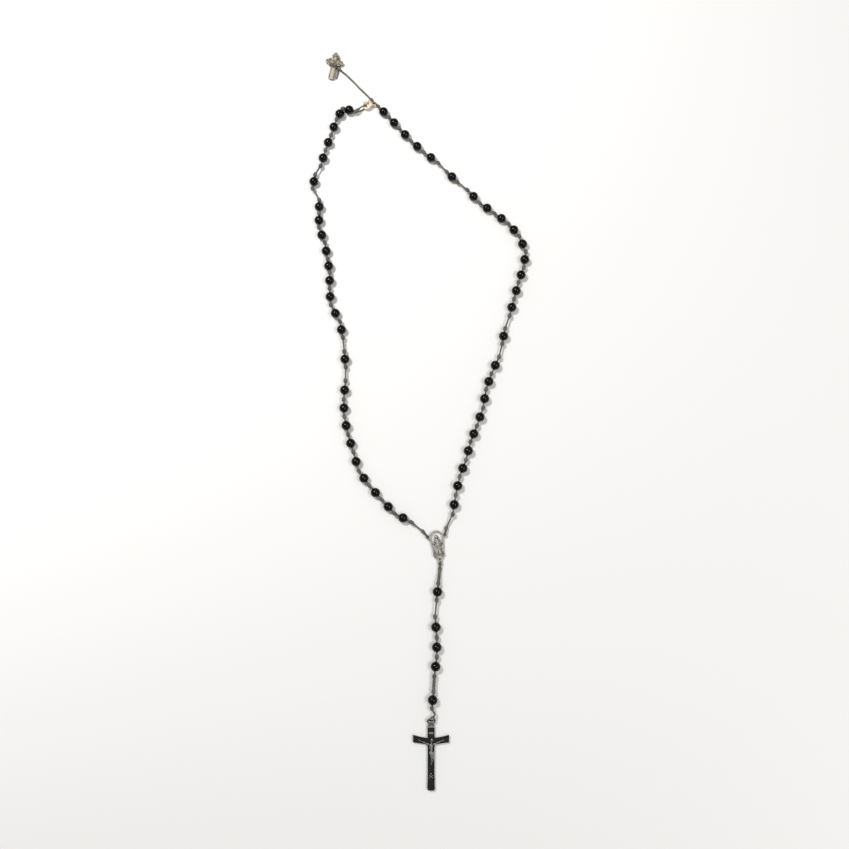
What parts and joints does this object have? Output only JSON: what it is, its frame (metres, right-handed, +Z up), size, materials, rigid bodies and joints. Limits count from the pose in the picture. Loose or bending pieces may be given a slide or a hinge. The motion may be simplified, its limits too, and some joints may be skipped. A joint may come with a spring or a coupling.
{
  "type": "rosary",
  "caption": "Rosary of round black beads knotted onto grey cord, with a hook clasp, a centre medal, a crucifix pendant and a small budded cross on a tail of cord.",
  "frame": {"origin": "centre of the bounding box, on the surface that the rosary lies on", "axes": "+Z up from the surface, +Y from the crucifix towards the small budded cross, +X to the right"},
  "size_m": [0.1429, 0.4728, 0.006],
  "materials": {
    "black_bead": "glossy opaque black",
    "grey_cord": "matt twisted cord",
    "pale_gold": "satin, pale gold wash",
    "dark_link": "tarnished",
    "antique_silver": "antiqued silver, dark in the recesses",
    "gunmetal": "satin dark grey cast metal",
    "worn_silver": "dark silver worn bright on the high spots"
  },
  "bodies": {
    "loop": {"left_cord": "grey_cord", "right_cord": "grey_cord", "left_knots": "grey_cord", "right_knots": "grey_cord", "decade_left_top": "black_bead", "decade_left_middle": "black_bead", "decade_left_bottom": "black_bead", "decade_right_top": "black_bead", "decade_right_middle": "black_bead", "decade_right_bottom": "black_bead", "right_clasp_tie": "grey_cord", "left_link_tie": "grey_cord", "clasp_link": "dark_link"},
    "claw": {"clasp_claw": "pale_gold", "clasp_rivet": "pale_gold"},
    "lever": {"clasp_lever": "pale_gold"},
    "tail": {"tail_tie": "grey_cord", "tail_cord": "grey_cord"},
    "charm": {"charm_cross": "antique_silver", "charm_lashing": "grey_cord", "charm_loose_end": "grey_cord"},
    "medal": {"medal_left_tie": "grey_cord", "medal_right_tie": "grey_cord", "medal_frame": "antique_silver", "medal_figure": "antique_silver", "medal_flowers": "antique_silver", "medal_plinth": "antique_silver"},
    "pendant": {"pendant_tie": "grey_cord", "pendant_cord": "grey_cord", "pendant_knots": "grey_cord"},
    "crucifix_loop": {"crucifix_tie": "grey_cord"},
    "crucifix": {"crucifix_bail": "worn_silver", "crucifix_cross": "gunmetal", "crucifix_title": "worn_silver", "crucifix_corpus": "worn_silver", "crucifix_nails": "worn_silver", "crucifix_relief": "worn_silver"},
    "our_father_left_upper": {"our_father_left_upper": "black_bead"},
    "our_father_left_lower": {"our_father_left_lower": "black_bead"},
    "our_father_right_upper": {"our_father_right_upper": "black_bead"},
    "our_father_right_lower": {"our_father_right_lower": "black_bead"},
    "pendant_bead_1": {"pendant_bead_1": "black_bead"},
    "pendant_bead_2": {"pendant_bead_2": "black_bead"},
    "pendant_bead_3": {"pendant_bead_3": "black_bead"},
    "pendant_bead_4": {"pendant_bead_4": "black_bead"},
    "pendant_bead_5": {"pendant_bead_5": "black_bead"}
  },
  "joints": [
    {"name": "claw_roll", "type": "hinge", "parent": "loop", "child": "claw", "pos_m": [-0.029, 0.201, 0.002], "axis": [-0.8979, -0.4401, 0], "range_deg": [-9, 9]},
    {"name": "lever_press", "type": "hinge", "parent": "claw", "child": "lever", "pos_m": [-0.03261, 0.20181, 0.002], "axis": [0, 0, 1], "range_deg": [0, 22], "stiffness_Nm_per_rad": 0.002, "springref_deg": -5.73},
    {"name": "tail_swing", "type": "hinge", "parent": "loop", "child": "tail", "pos_m": [-0.029, 0.201, 0.002], "axis": [0, 0, 1], "range_deg": [-50, 5]},
    {"name": "charm_swing", "type": "hinge", "parent": "tail", "child": "charm", "pos_m": [-0.053, 0.226, 0.0014], "axis": [0, 0, 1], "range_deg": [-30, 16]},
    {"name": "medal_tilt", "type": "hinge", "parent": "loop", "child": "medal", "pos_m": [0.003, -0.0815, 0.0014], "axis": [-0.9906, -0.1366, 0], "range_deg": [0, 150]},
    {"name": "pendant_swing", "type": "hinge", "parent": "medal", "child": "pendant", "pos_m": [0.0137, -0.10095, 0.0014], "axis": [0, 0, 1], "range_deg": [-35, 35]},
    {"name": "crucifix_swing", "type": "hinge", "parent": "pendant", "child": "crucifix_loop", "pos_m": [0.0085, -0.188, 0.003], "axis": [0, 0, 1], "range_deg": [-35, 35]},
    {"name": "crucifix_flip", "type": "hinge", "parent": "crucifix_loop", "child": "crucifix", "pos_m": [0.008, -0.196, 0.0015], "axis": [-1, 0, 0], "range_deg": [0, 110]},
    {"name": "our_father_left_upper_spin", "type": "hinge", "parent": "loop", "child": "our_father_left_upper", "pos_m": [-0.06825, 0.14625, 0.003], "axis": [-0.156, -0.9878, 0], "continuous": true},
    {"name": "our_father_left_lower_spin", "type": "hinge", "parent": "loop", "child": "our_father_left_lower", "pos_m": [-0.0465, 0.0275, 0.003], "axis": [0.0995, -0.995, 0], "continuous": true},
    {"name": "our_father_right_upper_spin", "type": "hinge", "parent": "loop", "child": "our_father_right_upper", "pos_m": [0.022, 0.1495, 0.003], "axis": [0.7071, -0.7071, 0], "continuous": true},
    {"name": "our_father_right_lower_spin", "type": "hinge", "parent": "loop", "child": "our_father_right_lower", "pos_m": [0.0545, 0.0425, 0.003], "axis": [-0.1961, -0.9806, 0], "continuous": true},
    {"name": "pendant_bead_1_spin", "type": "hinge", "parent": "pendant", "child": "pendant_bead_1", "pos_m": [0.012, -0.1185, 0.003], "axis": [-0.0995, -0.995, 0], "continuous": true},
    {"name": "pendant_bead_2_spin", "type": "hinge", "parent": "pendant", "child": "pendant_bead_2", "pos_m": [0.011, -0.13975, 0.003], "axis": [0.0797, -0.9968, 0], "continuous": true},
    {"name": "pendant_bead_3_spin", "type": "hinge", "parent": "pendant", "child": "pendant_bead_3", "pos_m": [0.0115, -0.15175, 0.003], "axis": [0, -1, 0], "continuous": true},
    {"name": "pendant_bead_4_spin", "type": "hinge", "parent": "pendant", "child": "pendant_bead_4", "pos_m": [0.01075, -0.16325, 0.003], "axis": [-0.1293, -0.9916, 0], "continuous": true},
    {"name": "pendant_bead_5_spin", "type": "hinge", "parent": "pendant", "child": "pendant_bead_5", "pos_m": [0.009, -0.183, 0.003], "axis": [-0.0995, -0.995, 0], "continuous": true}
  ]
}
